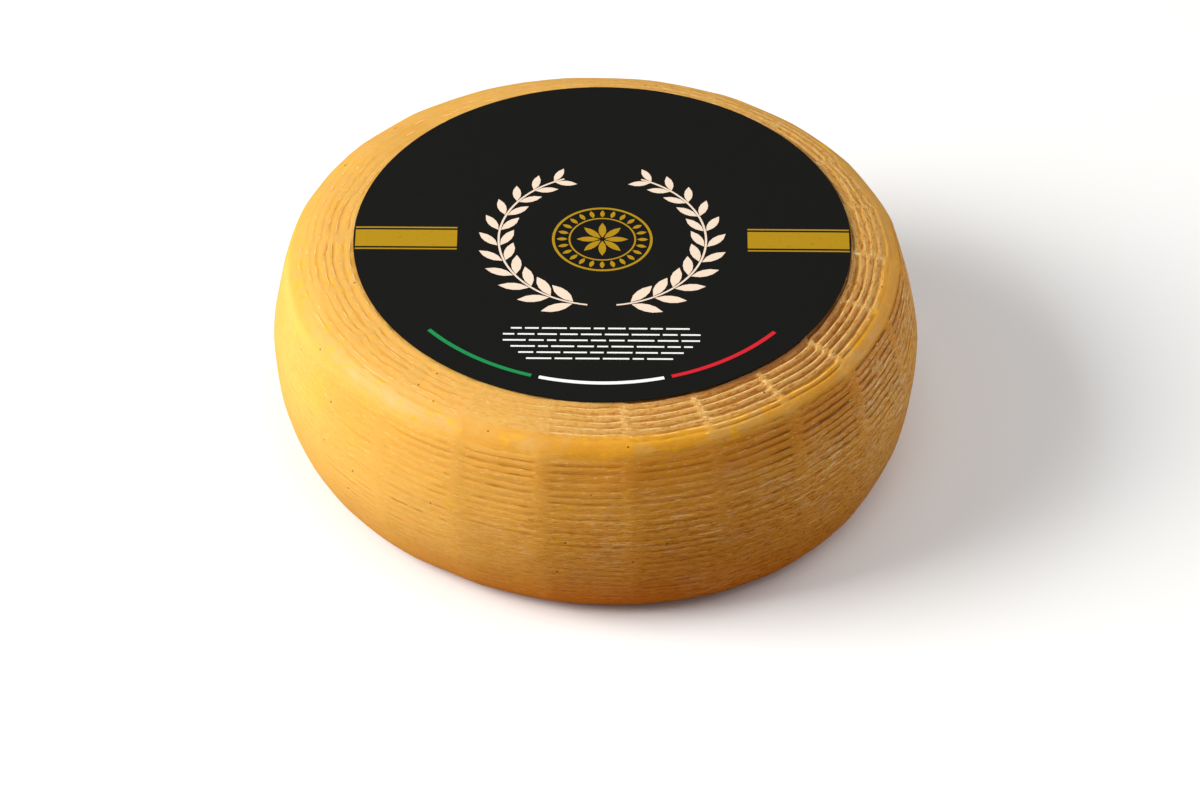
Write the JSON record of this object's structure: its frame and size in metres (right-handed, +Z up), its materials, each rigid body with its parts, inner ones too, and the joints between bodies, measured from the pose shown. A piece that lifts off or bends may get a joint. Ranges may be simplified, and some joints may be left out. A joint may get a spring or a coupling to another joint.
{
  "type": "pecorino",
  "caption": "Whole aged pecorino: a low wheel of golden cheese with basket-ridged sides and a round black label on top.",
  "frame": {"origin": "middle of the base, under the middle of the wheel's bounding box", "axes": "+Z up through the wheel, out of the label; -Y is the front, the side that the picture shows; +X is the picture's right"},
  "size_m": [0.2202, 0.2144, 0.08],
  "materials": {
    "rind": "golden cheese rind, oiled and half-gloss",
    "label_paper": "black paper, matte"
  },
  "bodies": {
    "root": {"wheel": "rind", "label": "label_paper"}
  },
  "joints": []
}
